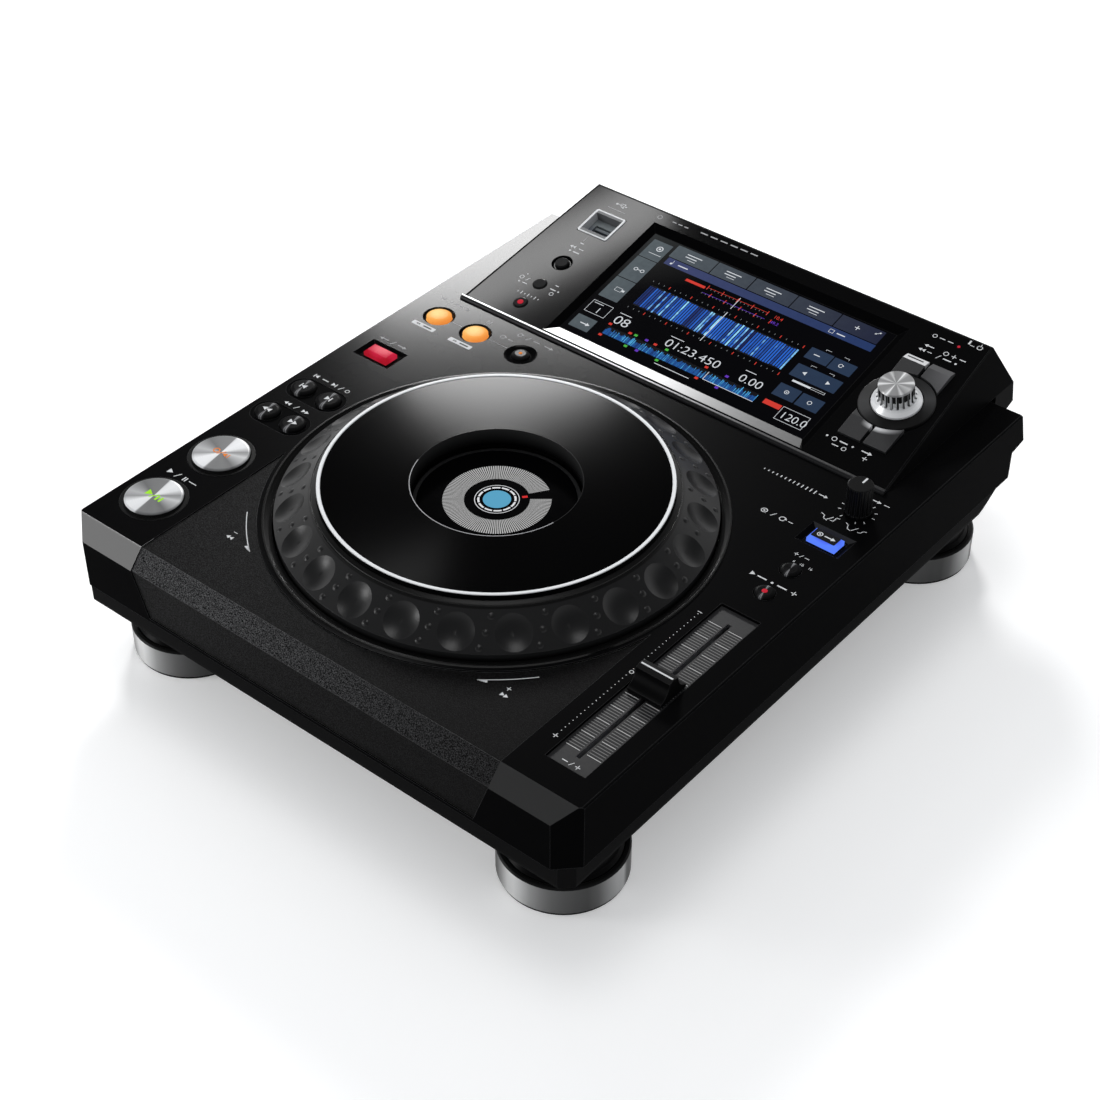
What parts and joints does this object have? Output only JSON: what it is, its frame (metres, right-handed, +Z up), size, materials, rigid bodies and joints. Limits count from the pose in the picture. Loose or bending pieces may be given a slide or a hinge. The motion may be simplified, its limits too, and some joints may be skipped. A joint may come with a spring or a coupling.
{
  "type": "tabletop dj media player",
  "caption": "Tabletop DJ player with a dimpled jog wheel, tilted touch display, selector knob, tempo slider, lit push buttons and four round metal-banded feet.",
  "frame": {"origin": "centre of the footprint on the table surface, midway across the width and the depth", "axes": "+X to the right hand of the person playing, +Y to the back where the display stands, +Z up"},
  "size_m": [0.306, 0.3844, 0.1105],
  "materials": {
    "tray_plastic": "satin",
    "gloss_black": "glossy",
    "matte_black": "matt",
    "silver_trim": "satin anodised",
    "module_metal": "plain",
    "screen_glass": "polished, lit from behind",
    "socket_plastic": "fine grained",
    "bearing_brass": "plain",
    "display_face": "lit display",
    "board_green": "lacquered",
    "panel_paint": "satin",
    "jack_metal": "plated",
    "foot_rubber": "matt",
    "dial_grey": "satin",
    "white_ring": "satin",
    "key_black": "satin",
    "key_silver": "radial brushed",
    "key_red": "lit from behind",
    "key_orange": "lit from behind",
    "key_blue": "lit from behind",
    "key_grey": "satin",
    "knob_metal": "brushed"
  },
  "bodies": {
    "base": {"bottom_tray": "tray_plastic", "upper_shell": "gloss_black", "deck_insert": "matte_black", "display_housing": "gloss_black", "display_fascia": "gloss_black", "display_front_trim": "silver_trim", "lcd_module": "module_metal", "touch_glass": "screen_glass", "usb_frame": "silver_trim", "usb_socket": "socket_plastic", "selector_collar": "matte_black", "selector_encoder": "module_metal", "jog_well": "matte_black", "jog_spindle": "socket_plastic", "jog_bearing": "bearing_brass", "jog_display": "display_face", "jog_sensor": "socket_plastic", "tempo_scale_plate": "matte_black", "tempo_fader": "module_metal", "transport_bezels": "matte_black", "speed_pot": "module_metal", "circuit_boards": "board_green", "power_supply": "module_metal", "rear_panel": "panel_paint", "ac_inlet": "socket_plastic", "audio_jacks": "jack_metal", "link_port": "module_metal", "usb_b_port": "module_metal", "foot_cores": "gloss_black", "foot_bands": "silver_trim", "foot_pads": "foot_rubber"},
    "jog_wheel": {"jog_dial": "dial_grey", "jog_encoder_disc": "module_metal"},
    "jog_top": {"jog_plate": "gloss_black", "jog_plate_ring": "white_ring"},
    "tempo_fader_cap": {"tempo_slider": "key_black"},
    "play_key": {"play_button": "key_silver"},
    "cue_key": {"cue_button": "key_silver"},
    "search_back_key": {"search_back_button": "key_silver"},
    "search_forward_key": {"search_forward_button": "key_silver"},
    "track_back_key": {"track_back_button": "key_silver"},
    "track_forward_key": {"track_forward_button": "key_silver"},
    "direction_key": {"direction_button": "key_red"},
    "loop_in_key": {"loop_in_button": "key_orange"},
    "loop_out_key": {"loop_out_button": "key_orange"},
    "reloop_key": {"reloop_button": "key_black"},
    "jog_mode_key": {"jog_mode_button": "key_blue"},
    "tempo_range_key": {"tempo_range_button": "key_black"},
    "master_tempo_key": {"master_tempo_button": "key_black"},
    "usb_stop_key": {"usb_stop_button": "key_black"},
    "time_mode_key": {"time_mode_button": "key_black"},
    "quantize_key": {"quantize_button": "key_black"},
    "back_key": {"back_button": "key_grey"},
    "tag_key": {"tag_button": "key_grey"},
    "filter_key": {"filter_button": "key_grey"},
    "shortcut_key": {"shortcut_button": "key_grey"},
    "power_key": {"power_button": "key_black"},
    "selector_core": {"selector_plunger": "module_metal"},
    "selector_dial": {"selector_knob": "knob_metal"},
    "speed_dial": {"speed_knob": "key_black"}
  },
  "joints": [
    {"name": "jog_spin", "type": "hinge", "parent": "base", "child": "jog_wheel", "pos_m": [-0.001, -0.0573, 0.09], "axis": [0, 0, 1], "continuous": true},
    {"name": "jog_press", "type": "slide", "parent": "jog_wheel", "child": "jog_top", "axis": [0, 0, -1], "range_m": [0, 0.0004], "stiffness_N_per_m": 2500, "springref_m": -0.0006},
    {"name": "tempo_slide", "type": "slide", "parent": "base", "child": "tempo_fader_cap", "axis": [0, 1, 0], "range_m": [-0.05, 0.05]},
    {"name": "play_press", "type": "slide", "parent": "base", "child": "play_key", "axis": [0, 0, -1], "range_m": [0, 0.0012], "stiffness_N_per_m": 400, "springref_m": -0.001},
    {"name": "cue_press", "type": "slide", "parent": "base", "child": "cue_key", "axis": [0, 0, -1], "range_m": [0, 0.0012], "stiffness_N_per_m": 400, "springref_m": -0.001},
    {"name": "search_back_press", "type": "slide", "parent": "base", "child": "search_back_key", "axis": [0, 0, -1], "range_m": [0, 0.0012], "stiffness_N_per_m": 400, "springref_m": -0.001},
    {"name": "search_forward_press", "type": "slide", "parent": "base", "child": "search_forward_key", "axis": [0, 0, -1], "range_m": [0, 0.0012], "stiffness_N_per_m": 400, "springref_m": -0.001},
    {"name": "track_back_press", "type": "slide", "parent": "base", "child": "track_back_key", "axis": [0, 0, -1], "range_m": [0, 0.0012], "stiffness_N_per_m": 400, "springref_m": -0.001},
    {"name": "track_forward_press", "type": "slide", "parent": "base", "child": "track_forward_key", "axis": [0, 0, -1], "range_m": [0, 0.0012], "stiffness_N_per_m": 400, "springref_m": -0.001},
    {"name": "direction_press", "type": "slide", "parent": "base", "child": "direction_key", "axis": [0, 0, -1], "range_m": [0, 0.0012], "stiffness_N_per_m": 400, "springref_m": -0.001},
    {"name": "loop_in_press", "type": "slide", "parent": "base", "child": "loop_in_key", "axis": [0, 0, -1], "range_m": [0, 0.0012], "stiffness_N_per_m": 400, "springref_m": -0.001},
    {"name": "loop_out_press", "type": "slide", "parent": "base", "child": "loop_out_key", "axis": [0, 0, -1], "range_m": [0, 0.0012], "stiffness_N_per_m": 400, "springref_m": -0.001},
    {"name": "reloop_press", "type": "slide", "parent": "base", "child": "reloop_key", "axis": [0, 0, -1], "range_m": [0, 0.0012], "stiffness_N_per_m": 400, "springref_m": -0.001},
    {"name": "jog_mode_press", "type": "slide", "parent": "base", "child": "jog_mode_key", "axis": [0, 0, -1], "range_m": [0, 0.0012], "stiffness_N_per_m": 400, "springref_m": -0.001},
    {"name": "tempo_range_press", "type": "slide", "parent": "base", "child": "tempo_range_key", "axis": [0, 0, -1], "range_m": [0, 0.0012], "stiffness_N_per_m": 400, "springref_m": -0.001},
    {"name": "master_tempo_press", "type": "slide", "parent": "base", "child": "master_tempo_key", "axis": [0, 0, -1], "range_m": [0, 0.0012], "stiffness_N_per_m": 400, "springref_m": -0.001},
    {"name": "usb_stop_press", "type": "slide", "parent": "base", "child": "usb_stop_key", "axis": [0, 0.2198, -0.9755], "range_m": [0, 0.0008], "stiffness_N_per_m": 400, "springref_m": -0.001},
    {"name": "time_mode_press", "type": "slide", "parent": "base", "child": "time_mode_key", "axis": [0, 0.2198, -0.9755], "range_m": [0, 0.0008], "stiffness_N_per_m": 400, "springref_m": -0.001},
    {"name": "quantize_press", "type": "slide", "parent": "base", "child": "quantize_key", "axis": [0, 0.2198, -0.9755], "range_m": [0, 0.0008], "stiffness_N_per_m": 400, "springref_m": -0.001},
    {"name": "back_press", "type": "slide", "parent": "base", "child": "back_key", "axis": [0, 0.2198, -0.9755], "range_m": [0, 0.0008], "stiffness_N_per_m": 400, "springref_m": -0.001},
    {"name": "tag_press", "type": "slide", "parent": "base", "child": "tag_key", "axis": [0, 0.2198, -0.9755], "range_m": [0, 0.0008], "stiffness_N_per_m": 400, "springref_m": -0.001},
    {"name": "filter_press", "type": "slide", "parent": "base", "child": "filter_key", "axis": [0, 0.2198, -0.9755], "range_m": [0, 0.0008], "stiffness_N_per_m": 400, "springref_m": -0.001},
    {"name": "shortcut_press", "type": "slide", "parent": "base", "child": "shortcut_key", "axis": [0, 0.2198, -0.9755], "range_m": [0, 0.0008], "stiffness_N_per_m": 400, "springref_m": -0.001},
    {"name": "power_press", "type": "slide", "parent": "base", "child": "power_key", "axis": [0, -0.8831, -0.4692], "range_m": [0, 0.0012], "stiffness_N_per_m": 600, "springref_m": -0.001},
    {"name": "selector_press", "type": "slide", "parent": "base", "child": "selector_core", "axis": [0, 0.2198, -0.9755], "range_m": [0, 0.0008], "stiffness_N_per_m": 900, "springref_m": -0.001},
    {"name": "selector_turn", "type": "hinge", "parent": "selector_core", "child": "selector_dial", "pos_m": [0.1065, 0.1209, 0.09495], "axis": [0, -0.2198, 0.9755], "continuous": true},
    {"name": "speed_turn", "type": "hinge", "parent": "base", "child": "speed_dial", "pos_m": [0.1319, 0.0493, 0.09], "axis": [0, 0, -1], "range_deg": [-140, 140]}
  ]
}
